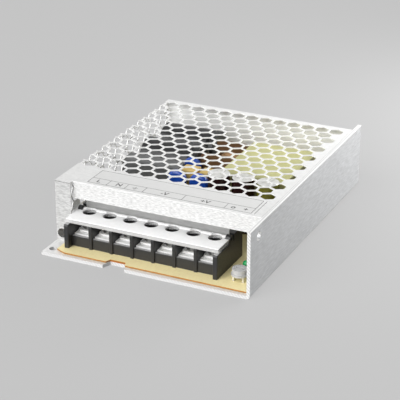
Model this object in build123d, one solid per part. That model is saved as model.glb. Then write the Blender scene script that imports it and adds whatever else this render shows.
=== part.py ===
from build123d import *
import math
import os

# A mesh-cased switching power supply, in millimetres.
# X runs across the case, Y from the terminals at the front to the back, Z up.
# The origin is at the middle of the underside.

# Case
case_width = 97.0
case_depth = 129.0
case_height = 30.0
chassis_sheet = 1.5
chassis_bend_inside = 0.3
seam = 0.3
cover_sheet = 0.4
cover_drop = 0.2
cover_fold = 0.3
fold_limit_share = 0.85
strip_set_back = 13.3
lip_set_back = 15.2
rear_ledge = 6.5
lip_height = 7.8
strip_width = 7.5
strip_foot_width = 4.9
strip_foot_gap = 0.4
strip_hole = 4.4
strip_hole_margin = 2.7
strip_hole_height = 5.0
corner_relief = 0.6
flange_height = 4.0

# Perforation of the cover
hex_pitch = 7.05
hex_row_pitch = 5.76
hex_web = 0.85
hex_right_margin = 5.9
hex_front_margin = 20.0
hex_back_margin = 6.1
hex_wall_front_margin = 4.0
hex_wall_foot_margin = 9.0

# Fixing ears of the chassis and the flat head screws in them
ear_width = 10.0
ear_height = 10.0
ear_screw_height = 6.4
ear_end_margin = 16.0
flat_head = 5.6
flat_head_depth = 1.3
cover_screw = 2.9
cover_screw_length = 6.0
thread_clearance = 0.05
drive_width = 0.7
drive_depth = 0.5
drive_length_share = 0.55
screw_head_round = 0.6

# Mounting holes and slots of the base, and the threaded hole of the side wall
mount_hole = 3.6
mount_hole_side_margin = 3.2
mount_hole_end_margin = 4.6
slot_mouth = 10.2
slot_root = 6.8
slot_depth = 4.0
slot_side_margin = 34.8
side_hole = 4.0
side_hole_front_margin = 8.4
side_hole_drop = 5.0

# Circuit board and its fixings
board_thickness = 0.6
board_gap = 0.3
board_left_margin = 5.6
board_side_gap = 0.6
board_front_margin = 1.7
board_corner_width = 4.5
board_corner_depth = 2.0
board_slot_gap = 0.2
board_back_gap = 0.6
boss_diameter = 6.0
boss_edge_margin = 5.2
boss_front_margin = 35.5
board_screw = 2.9
board_screw_head = 5.5
board_screw_head_height = 1.9
board_hole = 3.4
film_thickness = 0.2
film_edge_margin = 1.0
film_front_margin = 2.5
film_boss_gap = 0.5
lead_clearance = 0.1
lead_below_board = 0.05

# Terminal block, with as many ways as the board has room for beside the adjuster
adjuster_room = 13.6
way_pitch = 9.9
divider = 1.6
end_wall = 2.1
block_side_margin = 2.3
block_front_margin = 4.2
block_depth = 25.6
way_depth = 17.2
floor_height = 4.4
apron_height = 4.8
apron_thickness = 1.2
apron_set_back = 3.4
divider_set_back = 2.7
wall_height = 11.0
wall_nose = 1.0
rear_height = 13.8
block_edge = 0.3
contact_thickness = 0.8
contact_side_gap = 0.15
contact_set_back = 5.2
contact_leg_width = 4.0
screw_set_back = 11.8
clamp_length = 8.0
clamp_side_gap = 0.35
clamp_thickness = 0.8
clamp_tab_height = 2.6
clamp_corner = 1.3
terminal_screw = 3.4
terminal_screw_head = 6.0
terminal_screw_head_height = 2.2
terminal_screw_tip_gap = 0.8
terminal_slot_width = 1.0
terminal_slot_depth = 1.1
terminal_cross_length = 3.6
terminal_well_gap = 0.3
marker_thickness = 0.7
marker_height = 6.0

# Hinged clear cover of the terminal block
guard_thickness = 1.2
guard_lift = 1.0
guard_rim_gap = 0.3
guard_rim = 1.2
guard_set_back = 1.8
guard_edge = 0.3
guard_hole = 5.9
guard_side_gap = 0.3
hinge_set_back = 14.2
hinge_pin = 1.6
hinge_pin_length = 1.4
hinge_barrel = 2.4
hinge_clearance = 0.05
cheek_radius = 1.7
cheek_gap = 0.5

# Trimmer and indicator beside the block
trimmer_diameter = 6.3
trimmer_skirt = 0.35
trimmer_skirt_height = 0.9
trimmer_body_height = 3.0
trimmer_stand = 2.6
trimmer_rim = 0.9
trimmer_side_margin = 6.8
trimmer_front_margin = 8.2
rotor_floor_gap = 0.1
rotor_clearance = 0.15
rotor_height = 1.6
rotor_stem = 1.6
rotor_slot_width = 0.9
rotor_slot_depth = 0.7
rotor_slot_length = 2.9
lead_width = 0.7
lamp_diameter = 3.0
lamp_flange = 0.35
lamp_flange_height = 0.9
lamp_height = 4.6
lamp_stand = 1.4
lamp_back_gap = 1.8
lamp_lead_pitch = 1.27

# Parts on the board, set out from the block and the left edge of the board
part_gap = 1.6
row_gap = 1.0
smoothing_row_gap = 7.4
part_edge_margin = 1.2
part_fillet = 0.6
component_lead = 0.8
fuse_diameter = 5.2
fuse_length = 20.0
fuse_cap_length = 5.0
fuse_cap_wall = 0.3
fuse_stand = 0.6
thermistor_diameter = 10.0
thermistor_thickness = 4.2
bridge_length = 22.0
bridge_thickness = 3.6
bridge_height = 15.0
bridge_lead_count = 4
mains_film_depth = 8.6
mains_film_height = 20.4
signal_film_count = 2
signal_film_length = 7.6
signal_film_depth = 6.4
signal_film_height = 20.6
disc_count = 3
disc_diameter = 9.0
disc_thickness = 3.8
disc_stand = 12.5
disc_rim_share = 0.45
bulk_diameter = 18.4
crimp_depth = 0.7
crimp_width = 1.8
crimp_height = 3.4
bulk_stand = 3.4
bulk_lead_reach = 1.6
smoothing_count = 3
smoothing_diameter = 10.0
smoothing_height = 25.2
vent_width = 0.5
vent_depth = 0.2
vent_length_share = 0.6
transformer_width = 31.0
transformer_length = 38.0
transformer_top_gap = 4.2
tape_thickness = 0.8
tape_round = 3.0
bobbin_height = 3.2
core_leg = 5.0
core_yoke = 6.0
winding_gap = 0.3
pin_row_count = 5
pin_row_pitch = 5.0
choke_width = 15.8
choke_length = 19.4
choke_height = 22.6
choke_flange = 1.6
choke_flange_margin = 0.9
choke_winding_depth = 1.5
choke_corner = 1.8
logic_length = 9.6
logic_width = 6.4
logic_height = 3.4
logic_lead_pitch = 2.3
coupler_length = 4.6

# Power devices clamped to the side wall
device_count = 2
device_width = 10.0
device_thickness = 4.4
device_height = 15.0
device_stand = 2.6
device_gap = 10.0
device_front_margin = 48.0
pad_thickness = 0.3
pad_margin = 1.2
clamp_bar_thickness = 1.2
clamp_bar_height = 8.0
clamp_bar_height_share = 0.6
clamp_bar_end = 7.0
clamp_bar_screw = 2.9
clamp_bar_head = 5.5
clamp_bar_head_height = 1.6
clamp_post = 5.0
clamp_screw_tip_gap = 0.6

# Places that follow from the sizes above
left = -case_width / 2
right = case_width / 2
front = -case_depth / 2
back = case_depth / 2
chassis_bend = chassis_bend_inside + chassis_sheet
wall_inside = right - chassis_sheet
cover_right = wall_inside - seam
cover_back = back - rear_ledge
cover_top = case_height - cover_drop
cover_under = cover_top - cover_sheet
# The outside of a fold rounds less than the sheet is thick
fold_radius = min(cover_fold, fold_limit_share * cover_sheet)
strip_front = front + strip_set_back
lip_front = front + lip_set_back
strip_right = left + strip_width
hex_half_width = (hex_pitch - hex_web) / 2

board_left = left + board_left_margin
board_right = wall_inside - board_side_gap
board_front = front + board_front_margin
board_back = cover_back - cover_sheet - chassis_sheet - board_back_gap
board_bottom = chassis_sheet + board_gap
board_top = board_bottom + board_thickness
lead_tip = board_bottom - lead_below_board

block_left = board_left + block_side_margin
way_room = board_right - adjuster_room - block_left - 2 * end_wall + divider
way_count = int(way_room / way_pitch)
way_width = way_pitch - divider
block_width = way_count * way_pitch - divider + 2 * end_wall
block_right = block_left + block_width
block_front = board_front + block_front_margin
block_back = block_front + block_depth
way_back = block_front + way_depth
floor_top = board_top + floor_height
wall_top = board_top + wall_height
contact_top = floor_top + contact_thickness
clamp_top = contact_top + clamp_thickness
screw_y = block_front + screw_set_back
way_centres = [block_left + end_wall + way_width / 2 + index * way_pitch for index in range(way_count)]

guard_bottom = wall_top + guard_lift
guard_top = guard_bottom + guard_thickness
hinge_y = block_front + hinge_set_back
hinge_z = guard_bottom + guard_thickness / 2

trimmer_x = board_right - trimmer_side_margin
trimmer_y = board_front + trimmer_front_margin
trimmer_floor = board_top + trimmer_stand
trimmer_top = trimmer_floor + trimmer_body_height
lamp_y = trimmer_y + trimmer_diameter / 2 + trimmer_skirt + lamp_back_gap + lamp_diameter / 2

# Rows of parts behind the block, each row set behind the one before
parts_left = board_left + part_edge_margin
fuse_y = block_back + row_gap + fuse_diameter / 2
bridge_front = fuse_y + fuse_diameter / 2 + row_gap
smoothing_y = bridge_front + bridge_thickness + smoothing_row_gap + smoothing_diameter / 2
film_row_front = smoothing_y + smoothing_diameter / 2 + part_gap
bulk_row_front = film_row_front + mains_film_depth + disc_thickness + 2 * part_gap
parts_right = wall_inside - pad_thickness - device_thickness - clamp_bar_thickness - clamp_bar_head_height
transformer_right = parts_right - part_gap / 2
transformer_left = transformer_right - transformer_width
transformer_front = film_row_front + part_gap
transformer_top = case_height - transformer_top_gap

choke_right = transformer_left - part_gap
choke_left = choke_right - choke_width
choke_y = bulk_row_front + choke_length / 2
choke_winding = min(choke_width, choke_height) - 2 * choke_flange_margin
choke_post = choke_winding - 2 * choke_winding_depth
seal_x = choke_left - part_gap - component_lead / 2 - bulk_lead_reach
bulk_length = seal_x - parts_left
bulk_count = int((board_back - bulk_row_front) / (bulk_diameter + part_gap))
film_left = transformer_left - part_gap - signal_film_count * (signal_film_length + part_gap)
mains_film_length = film_left - part_gap - parts_left
smoothing_pitch = smoothing_diameter + part_gap
smoothing_right = parts_right - smoothing_diameter / 2 - part_gap
smoothing_row_left = smoothing_right - (smoothing_count - 1) * smoothing_pitch - smoothing_diameter / 2
disc_right = smoothing_row_left - part_gap - disc_diameter / 2
fuse_left = parts_left + boss_edge_margin + boss_diameter
logic_left = fuse_left + fuse_length + 2 * part_gap
coupler_left = logic_left + logic_length + 2 * part_gap

# The power devices stand in a row along the side wall
device_pitch = device_width + device_gap
device_centres = [front + device_front_margin + index * device_pitch for index in range(device_count)]
device_right = wall_inside - pad_thickness
device_left = device_right - device_thickness
device_foot = board_top + device_stand
device_top = device_foot + device_height
clamp_bar_z = device_foot + device_height * clamp_bar_height_share
clamp_screw_places = [device_centres[0] - device_pitch / 2, device_centres[-1] + device_pitch / 2]

# The ears stand inside the cover: two on its left wall and one on its back wall
left_ears = [strip_front + ear_end_margin, cover_back - ear_end_margin]
ear_places = [Pos(left, y, ear_screw_height) * Rot(0, -90, 0) for y in left_ears]
ear_places.append(Pos(0, cover_back, ear_screw_height) * Rot(-90, 0, 0))

boss_places = [
    (x, y)
    for x in (board_left + boss_edge_margin, board_right - boss_edge_margin)
    for y in (front + boss_front_margin, board_back - boss_edge_margin)
]


def span(x0, x1, y0, y1, z0, z1):
    """A block between two corners."""
    middle = ((x0 + x1) / 2, (y0 + y1) / 2, (z0 + z1) / 2)
    return Pos(*middle) * Box(x1 - x0, y1 - y0, z1 - z0)


def post(diameter, x, y, z0, z1):
    """An upright cylinder."""
    return Pos(x, y, (z0 + z1) / 2) * Cylinder(diameter / 2, z1 - z0)


def bar_across(diameter, x0, x1, y, z):
    """A cylinder that lies along X."""
    return Pos((x0 + x1) / 2, y, z) * Rot(0, 90, 0) * Cylinder(diameter / 2, x1 - x0)


def bar_along(diameter, x, y0, y1, z):
    """A cylinder that lies along Y."""
    return Pos(x, (y0 + y1) / 2, z) * Rot(90, 0, 0) * Cylinder(diameter / 2, y1 - y0)


def square_lead(x, y, z0, z1, width=component_lead):
    """A square wire that stands on the board."""
    return span(x - width / 2, x + width / 2, y - width / 2, y + width / 2, z0, z1)


def edges_at(shape, axis, **place):
    """The edges along one axis whose middles lie at the given place."""
    found = shape.edges().filter_by(axis)
    for name, value in place.items():
        found = [edge for edge in found if abs(getattr(edge.center(), name) - value) < 1e-4]
    return found


def flat_screw(clearance=0.0):
    """A flat head screw along -Z with its head at the origin, or the hole that it sits in."""
    head = Cone(cover_screw / 2 + clearance, flat_head / 2 + clearance, flat_head_depth)
    shank = post(cover_screw + 2 * clearance, 0, 0, -cover_screw_length, 0)
    return Pos(0, 0, -flat_head_depth / 2) * head + shank


def drive_cross(head_diameter):
    """The cross recess of a screw head whose top is at the origin."""
    length = head_diameter * drive_length_share
    first = Box(length, drive_width, 2 * drive_depth)
    second = Box(drive_width, length, 2 * drive_depth)
    return first + second


def mounting_slot(thickness, clearance=0.0):
    """The open slot of an end of the base, cut at the front."""
    middle = left + slot_side_margin
    mouth = slot_mouth / 2 + clearance
    root = slot_root / 2 + clearance
    root_y = front + slot_depth + clearance
    outline = Polyline(
        (middle - mouth, front),
        (middle - root, root_y),
        (middle + root, root_y),
        (middle + mouth, front),
        close=True,
    )
    return extrude(make_face(outline), thickness)


def chassis():
    """The folded base and side wall, with drawn bosses for the board and ears for the cover."""
    body = span(left, right, front, back, 0, chassis_sheet)
    body += span(wall_inside, right, front, back, 0, case_height)
    body = fillet(edges_at(body, Axis.Y, X=right, Z=0), chassis_bend)
    body = fillet(edges_at(body, Axis.Y, X=wall_inside, Z=chassis_sheet), chassis_bend_inside)
    ear_outside = left + cover_sheet
    for y in left_ears:
        ear_inside = ear_outside + chassis_sheet
        y0, y1 = y - ear_width / 2, y + ear_width / 2
        body += span(ear_outside, ear_inside, y0, y1, 0, ear_height)
        body -= span(ear_inside, ear_inside + ear_height - chassis_sheet, y0, y1, 0, chassis_sheet)
    ear_outside = cover_back - cover_sheet
    ear_inside = ear_outside - chassis_sheet
    body += span(-ear_width / 2, ear_width / 2, ear_inside, ear_outside, 0, ear_height)
    window_front = ear_inside - ear_height + chassis_sheet
    body -= span(-ear_width / 2, ear_width / 2, window_front, ear_inside, 0, chassis_sheet)
    for place in ear_places:
        body -= place * flat_screw(thread_clearance)
    for x, y in boss_places:
        body += post(boss_diameter, x, y, chassis_sheet, board_bottom)
        body -= post(board_screw + 2 * thread_clearance, x, y, 0, board_bottom)
    hole_x = left + mount_hole_side_margin
    for y in (front + mount_hole_end_margin, back - mount_hole_end_margin):
        body -= post(mount_hole, hole_x, y, 0, chassis_sheet)
    slot = mounting_slot(chassis_sheet)
    body -= slot
    body -= mirror(slot, Plane.XZ)
    side_y = front + side_hole_front_margin
    body -= bar_across(side_hole, wall_inside, right, side_y, case_height - side_hole_drop)
    return body


def hexagon():
    """One opening of the perforation, with its flats along Y and an even web around it."""
    squash = hex_row_pitch / (hex_pitch * math.sqrt(3) / 2)
    half_length = hex_half_width * 2 / math.sqrt(3) * squash
    corners = [
        (hex_half_width, half_length / 2),
        (0, half_length),
        (-hex_half_width, half_length / 2),
        (-hex_half_width, -half_length / 2),
        (0, -half_length),
        (hex_half_width, -half_length / 2),
    ]
    return Polygon(*corners, align=None)


def perforation():
    """The openings of the top and of the left wall, punched in one pattern across the fold."""
    hole_down = extrude(hexagon(), 2 * cover_sheet, both=True)
    hole_across = Rot(0, 90, 0) * hole_down
    first_x = cover_right - hex_right_margin
    last_y = cover_back - hex_back_margin
    wall_front = strip_front + hex_wall_front_margin
    top_front = lip_front + hex_front_margin
    row_count = int((last_y - wall_front) / hex_row_pitch) + 1
    column_count = int((cover_right - left + cover_top) / hex_pitch) + 1
    cuts = []
    for row in range(row_count):
        y = last_y - row * hex_row_pitch
        stagger = hex_pitch / 2 * (row % 2)
        for column in range(column_count):
            reach = first_x - stagger - column * hex_pitch - left
            on_top = reach > -hex_half_width and y > top_front
            clear_of_foot = cover_top + reach - hex_half_width > hex_wall_foot_margin
            on_wall = reach < hex_half_width and clear_of_foot
            crosses = abs(reach) < hex_half_width
            if on_top:
                cuts.append(Pos(left + reach, y, cover_top) * hole_down)
            if on_wall and (on_top or not crosses):
                cuts.append(Pos(left, y, cover_top + reach) * hole_across)
    return cuts


def mesh_cover():
    """The folded cover: top, left wall, back wall, front lip, side flange and front strip."""
    top = span(left, cover_right, lip_front, cover_back, cover_under, cover_top)
    tab = span(left, strip_right, strip_front, lip_front, cover_under, cover_top)
    left_wall = span(left, left + cover_sheet, strip_front, cover_back, chassis_sheet, cover_top)
    back_left = left + cover_sheet + seam
    back_inside = cover_back - cover_sheet
    back_wall = span(back_left, cover_right, back_inside, cover_back, chassis_sheet, cover_top)
    corner_left = cover_right - chassis_bend_inside
    corner_top = chassis_sheet + chassis_bend_inside
    back_wall -= span(corner_left, cover_right, back_inside, cover_back, chassis_sheet, corner_top)
    lip_left = strip_right + corner_relief
    lip_foot = cover_top - lip_height
    lip = span(lip_left, cover_right, lip_front, lip_front + cover_sheet, lip_foot, cover_top)
    flange_front = lip_front + cover_sheet + seam
    flange_back = back_inside - seam
    flange_left = cover_right - cover_sheet
    flange_foot = cover_top - flange_height
    flange = span(flange_left, cover_right, flange_front, flange_back, flange_foot, cover_top)
    strip_back = strip_front + cover_sheet
    strip_top = cover_under - seam
    strip = span(left, strip_right, strip_front, strip_back, chassis_sheet, strip_top)
    foot_cut_left = left + strip_foot_width
    foot_cut_top = board_top + strip_foot_gap
    strip -= span(foot_cut_left, strip_right, strip_front, strip_back, chassis_sheet, foot_cut_top)
    hole_x = left + strip_hole_margin
    strip -= bar_along(strip_hole, hole_x, strip_front, strip_back, strip_hole_height)
    body = top + tab + left_wall + back_wall + lip + flange + strip
    folds = edges_at(body, Axis.Y, X=left, Z=cover_top)
    folds += edges_at(body, Axis.X, Y=cover_back, Z=cover_top)
    folds += edges_at(body, Axis.X, Y=lip_front, Z=cover_top)
    body = fillet(folds, fold_radius)
    body -= perforation()
    for place in ear_places:
        body -= place * flat_screw(thread_clearance)
    return body


def cover_screws():
    """The flat head screws that hold the cover to the ears."""
    screw = flat_screw() - drive_cross(flat_head)
    return [place * screw for place in ear_places]


def insulation_film():
    """The insulating film between the base and the solder side of the board."""
    edge = film_edge_margin
    body = span(
        board_left + edge, board_right - edge, board_front + film_front_margin, board_back - edge,
        chassis_sheet, chassis_sheet + film_thickness,
    )
    for x, y in boss_places:
        body -= post(boss_diameter + 2 * film_boss_gap, x, y, chassis_sheet, chassis_sheet + film_thickness)
    return body


def contact_leg(x, clearance=0.0):
    """The leg that a terminal contact sends down through the block and the board."""
    half = contact_leg_width / 2 + clearance
    leg_back = way_back - contact_side_gap
    leg_front = leg_back - contact_thickness
    return span(x - half, x + half, leg_front - clearance, leg_back + clearance, lead_tip, contact_top)


def trimmer_leads():
    """Where the trimmer's legs go into the board."""
    reach = trimmer_diameter / 2 - lead_width
    angles = [90, 210, 330]
    return [
        (trimmer_x + reach * math.cos(math.radians(angle)), trimmer_y + reach * math.sin(math.radians(angle)))
        for angle in angles
    ]


def lamp_leads():
    """Where the indicator's legs go into the board."""
    return [(trimmer_x + side * lamp_lead_pitch, lamp_y) for side in (-0.5, 0.5)]


def circuit_board():
    """The single-sided board, cut back for the slot and corner of the base, with its holes."""
    body = span(board_left, board_right, board_front, board_back, board_bottom, board_top)
    corner = Polyline(
        (board_left, board_front),
        (board_left + board_corner_width, board_front),
        (board_left, board_front + board_corner_depth),
        close=True,
    )
    body -= Pos(0, 0, board_bottom) * extrude(make_face(corner), board_thickness)
    body -= Pos(0, 0, board_bottom) * mounting_slot(board_thickness, board_slot_gap)
    for x, y in boss_places:
        body -= post(board_hole, x, y, board_bottom, board_top)
    for x in way_centres:
        body -= contact_leg(x, lead_clearance)
    for x, y in trimmer_leads() + lamp_leads():
        body -= square_lead(x, y, board_bottom, board_top, lead_width + 2 * lead_clearance)
    return body


def board_screws():
    """The pan head screws that hold the board to the drawn bosses."""
    screws = []
    for x, y in boss_places:
        head_top = board_top + board_screw_head_height
        head = post(board_screw_head, x, y, board_top, head_top)
        head = fillet(head.edges().group_by(Axis.Z)[-1], screw_head_round)
        shank = post(board_screw, x, y, chassis_sheet / 2, board_top)
        screws.append(head + shank - Pos(x, y, head_top) * drive_cross(board_screw_head))
    return screws


def partition(x0, x1, y0):
    """An upright wall of the block with its nose rounded."""
    wall = span(x0, x1, y0, way_back, board_top, wall_top)
    wall = fillet(edges_at(wall, Axis.X, Y=y0, Z=wall_top), wall_nose)
    return fillet(edges_at(wall, Axis.Z, Y=y0), block_edge)


def terminal_block():
    """The moulded block: floor, apron, dividers, end walls with hinge cheeks and tall rear body."""
    apron_front = block_front + apron_set_back
    apron_top = board_top + apron_height
    rear_top = board_top + rear_height
    apron = span(block_left, block_right, apron_front, apron_front + apron_thickness, board_top, apron_top)
    body = fillet(edges_at(apron, Axis.X, Y=apron_front, Z=apron_top), block_edge)
    body += span(block_left, block_right, apron_front + apron_thickness, way_back, board_top, floor_top)
    body += span(block_left, block_right, way_back, block_back, board_top, rear_top)
    wall_starts = [block_left, block_right - end_wall]
    for x in wall_starts:
        body += partition(x, x + end_wall, block_front)
        body += span(x, x + end_wall, hinge_y - cheek_radius, hinge_y + cheek_radius, wall_top, hinge_z)
        body += bar_across(2 * cheek_radius, x, x + end_wall, hinge_y, hinge_z)
    for x in way_centres[:-1]:
        divider_left = x + way_width / 2
        body += partition(divider_left, divider_left + divider, block_front + divider_set_back)
    bore = hinge_pin + 2 * hinge_clearance
    for x in wall_starts:
        body -= bar_across(bore, x, x + end_wall, hinge_y, hinge_z)
    well = terminal_screw + 2 * terminal_well_gap
    for x in way_centres:
        body -= post(well, x, screw_y, board_top + terminal_screw_tip_gap / 2, floor_top)
        body -= contact_leg(x, lead_clearance)
    return body


def terminal_contacts():
    """The tinned contact plates on the floor of each way, each with its leg to the board."""
    contacts = []
    half = way_width / 2 - contact_side_gap
    for x in way_centres:
        plate_front = block_front + contact_set_back
        plate_back = way_back - contact_side_gap
        plate = span(x - half, x + half, plate_front, plate_back, floor_top, contact_top)
        plate += contact_leg(x)
        thread = post(terminal_screw + 2 * thread_clearance, x, screw_y, floor_top, contact_top)
        contacts.append(plate - thread)
    return contacts


def terminal_clamp(x):
    """The wire clamp under a terminal screw, with its rear edge turned up."""
    half = way_width / 2 - clamp_side_gap
    y0 = screw_y - clamp_length / 2
    y1 = screw_y + clamp_length / 2
    plate = span(x - half, x + half, y0, y1, contact_top, clamp_top)
    plate += span(x - half, x + half, y1 - clamp_thickness, y1, clamp_top, clamp_top + clamp_tab_height)
    corners = edges_at(plate, Axis.Z, Y=y0)
    plate = fillet(corners, clamp_corner)
    return plate - post(terminal_screw + 2 * thread_clearance, x, screw_y, contact_top, clamp_top)


def terminal_screw_solid(x):
    """A terminal screw: pan head with a slot and a cross, and a plain shank for its thread."""
    head_top = clamp_top + terminal_screw_head_height
    head = post(terminal_screw_head, x, screw_y, clamp_top, head_top)
    head = fillet(head.edges().group_by(Axis.Z)[-1], screw_head_round)
    shank = post(terminal_screw, x, screw_y, board_top + terminal_screw_tip_gap, clamp_top)
    slot_box = Box(terminal_screw_head, terminal_slot_width, 2 * terminal_slot_depth)
    cross_box = Box(terminal_slot_width, terminal_cross_length, 2 * terminal_slot_depth)
    return head + shank - Pos(x, screw_y, head_top) * (slot_box + cross_box)


def terminal_guard():
    """The clear hinged cover: a plate with screwdriver holes, a rim, a barrel and two pins."""
    wide_left = block_left + guard_side_gap
    wide_right = block_right - guard_side_gap
    wide_front = block_front + guard_set_back
    wide_back = hinge_y - cheek_radius - cheek_gap
    narrow_left = block_left + end_wall + guard_side_gap
    narrow_right = block_right - end_wall - guard_side_gap
    rim_bottom = wall_top + guard_rim_gap
    body = span(wide_left, wide_right, wide_front, wide_back, guard_bottom, guard_top)
    body = fillet(edges_at(body, Axis.X, Y=wide_front, Z=guard_top), guard_edge)
    body += span(narrow_left, narrow_right, wide_back, hinge_y, guard_bottom, guard_top)
    body += span(wide_left, wide_right, wide_front, wide_front + guard_rim, rim_bottom, guard_bottom)
    body += span(wide_left, wide_left + guard_rim, wide_front, wide_back, rim_bottom, guard_bottom)
    body += span(wide_right - guard_rim, wide_right, wide_front, wide_back, rim_bottom, guard_bottom)
    body += bar_across(hinge_barrel, narrow_left, narrow_right, hinge_y, hinge_z)
    reach = guard_side_gap + hinge_pin_length
    body += bar_across(hinge_pin, narrow_left - reach, narrow_right + reach, hinge_y, hinge_z)
    for x in way_centres:
        body -= post(guard_hole, x, screw_y, guard_bottom - hinge_barrel, guard_top + hinge_barrel)
        rim = Cone(guard_hole / 2, guard_hole / 2 + guard_edge, guard_edge)
        body -= Pos(x, screw_y, guard_top - guard_edge / 2) * rim
    return body


def marker_strip():
    """The grey marking strip that leans on the rear body of the block."""
    strip_left = block_left + end_wall
    strip_end = block_right - end_wall
    strip_front_face = way_back - marker_thickness
    return span(strip_left, strip_end, strip_front_face, way_back, wall_top, wall_top + marker_height)


def trimmer_base():
    """The round cup of the trimmer with its skirt and three legs."""
    body = post(trimmer_diameter, trimmer_x, trimmer_y, trimmer_floor, trimmer_top)
    skirt = trimmer_diameter + 2 * trimmer_skirt
    body += post(skirt, trimmer_x, trimmer_y, trimmer_floor, trimmer_floor + trimmer_skirt_height)
    cup = trimmer_diameter - 2 * trimmer_rim
    body -= post(cup, trimmer_x, trimmer_y, trimmer_top - rotor_height, trimmer_top)
    stem_hole = rotor_stem + 2 * hinge_clearance
    body -= post(stem_hole, trimmer_x, trimmer_y, trimmer_floor, trimmer_top)
    for x, y in trimmer_leads():
        body += square_lead(x, y, lead_tip, trimmer_floor, lead_width)
    return body


def trimmer_rotor():
    """The slotted rotor that turns in the trimmer's cup."""
    disc = trimmer_diameter - 2 * trimmer_rim - 2 * rotor_clearance
    disc_bottom = trimmer_top - rotor_height + rotor_floor_gap
    disc_top = trimmer_top + rotor_floor_gap
    body = post(disc, trimmer_x, trimmer_y, disc_bottom, disc_top)
    body += post(rotor_stem, trimmer_x, trimmer_y, trimmer_floor, disc_bottom)
    slot = Box(rotor_slot_length, rotor_slot_width, 2 * rotor_slot_depth)
    return body - Pos(trimmer_x, trimmer_y, disc_top) * slot


def indicator_lamp():
    """The domed green indicator with its flange and two legs."""
    foot = board_top + lamp_stand
    dome_z = foot + lamp_height - lamp_diameter / 2
    flange = lamp_diameter + 2 * lamp_flange
    body = post(flange, trimmer_x, lamp_y, foot, foot + lamp_flange_height)
    body += post(lamp_diameter, trimmer_x, lamp_y, foot, dome_z)
    body += Pos(trimmer_x, lamp_y, dome_z) * Sphere(lamp_diameter / 2)
    for x, y in lamp_leads():
        body += square_lead(x, y, lead_tip, foot, lead_width)
    return body


def fuse_tube():
    """The glass fuse between its end caps, on two wires."""
    fuse_z = board_top + fuse_stand + fuse_diameter / 2 + fuse_cap_wall
    x0, x1 = fuse_left, fuse_left + fuse_length
    body = bar_across(fuse_diameter, x0, x1, fuse_y, fuse_z)
    cap = fuse_diameter + 2 * fuse_cap_wall
    for start in (x0, x1 - fuse_cap_length):
        body += bar_across(cap, start, start + fuse_cap_length, fuse_y, fuse_z)
        body += square_lead(start + fuse_cap_length / 2, fuse_y, board_top, fuse_z)
    return body


def upright_disc(x, y, diameter, thickness, stand):
    """A lacquered disc that stands on two wires, with its rim rounded."""
    centre_z = board_top + stand + diameter / 2
    body = bar_along(diameter, x, y - thickness / 2, y + thickness / 2, centre_z)
    body = fillet(body.edges().filter_by(GeomType.CIRCLE), thickness * disc_rim_share)
    for side in (-1, 1):
        body += square_lead(x + side * diameter / 4, y, board_top, centre_z)
    return body


def thermistor():
    """The inrush limiter, a lacquered disc."""
    x = parts_left + thermistor_diameter / 2
    y = bridge_front + bridge_thickness + row_gap + thermistor_thickness / 2
    return upright_disc(x, y, thermistor_diameter, thermistor_thickness, component_lead)


def bridge_rectifier():
    """The slab-shaped bridge rectifier, standing on four wires."""
    x0 = parts_left + thermistor_diameter + part_gap
    bridge_back = bridge_front + bridge_thickness
    foot = board_top + device_stand
    body = span(x0, x0 + bridge_length, bridge_front, bridge_back, foot, foot + bridge_height)
    body = fillet(body.edges().filter_by(Axis.Z), part_fillet)
    for index in range(bridge_lead_count):
        x = x0 + bridge_length * (index + 0.5) / bridge_lead_count
        body += square_lead(x, (bridge_front + bridge_back) / 2, board_top, foot)
    return body


def box_capacitor(x0, y0, length, depth, height):
    """A potted film capacitor with its corners rounded."""
    body = span(x0, x0 + length, y0, y0 + depth, board_top, board_top + height)
    rounded = body.edges().filter_by(Axis.Z) + body.edges().group_by(Axis.Z)[-1]
    return fillet(rounded, part_fillet)


def can(diameter, length):
    """An electrolytic can that stands at the origin, with a crimp and a scored vent in its top."""
    radius = diameter / 2
    crimp_low = crimp_height - crimp_width / 2
    crimp_high = crimp_height + crimp_width / 2
    outline = Polyline(
        (0, 0, 0),
        (radius, 0, 0),
        (radius, 0, crimp_low),
        (radius - crimp_depth, 0, crimp_height),
        (radius, 0, crimp_high),
        (radius, 0, length),
        (0, 0, length),
        close=True,
    )
    body = revolve(make_face(outline), Axis.Z)
    rims = body.edges().filter_by(GeomType.CIRCLE)
    ends = [edge for edge in rims if min(abs(edge.center().Z), abs(edge.center().Z - length)) < vent_depth]
    body = fillet(ends, part_fillet)
    score = diameter * vent_length_share
    for angle in (45, 135):
        body -= Pos(0, 0, length) * Rot(0, 0, angle) * Box(score, vent_width, 2 * vent_depth)
    return body


def bulk_capacitor(index):
    """One of the two large cans that lie across the board, on its two leads."""
    y = bulk_row_front + bulk_diameter / 2 + index * (bulk_diameter + part_gap)
    z = board_top + bulk_stand + bulk_diameter / 2
    body = Pos(seal_x, y, z) * Rot(0, -90, 0) * can(bulk_diameter, bulk_length)
    lead_end = seal_x + bulk_lead_reach
    for side in (-1, 1):
        lead_y = y + side * bulk_diameter / 4
        body += bar_across(component_lead, seal_x, lead_end, lead_y, z)
        body += square_lead(lead_end, lead_y, board_top, z + component_lead / 2)
    return body


def smoothing_capacitor(index):
    """One of the output cans, in a row in front of the transformer."""
    x = smoothing_right - index * smoothing_pitch
    return Pos(x, smoothing_y, board_top) * can(smoothing_diameter, smoothing_height)


def transformer_bobbin():
    """The base of the transformer's bobbin with its pin rows."""
    x0, x1 = transformer_left, transformer_right
    y0, y1 = transformer_front, transformer_front + transformer_length
    pin_height = component_lead
    body = span(x0, x1, y0, y1, board_top + pin_height, board_top + bobbin_height)
    body = fillet(body.edges().filter_by(Axis.Z), part_fillet)
    middle = (x0 + x1) / 2
    for index in range(pin_row_count):
        x = middle + (index - (pin_row_count - 1) / 2) * pin_row_pitch
        for y in (y0 + component_lead, y1 - component_lead):
            body += square_lead(x, y, board_top, board_top + bobbin_height)
    return body


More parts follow.
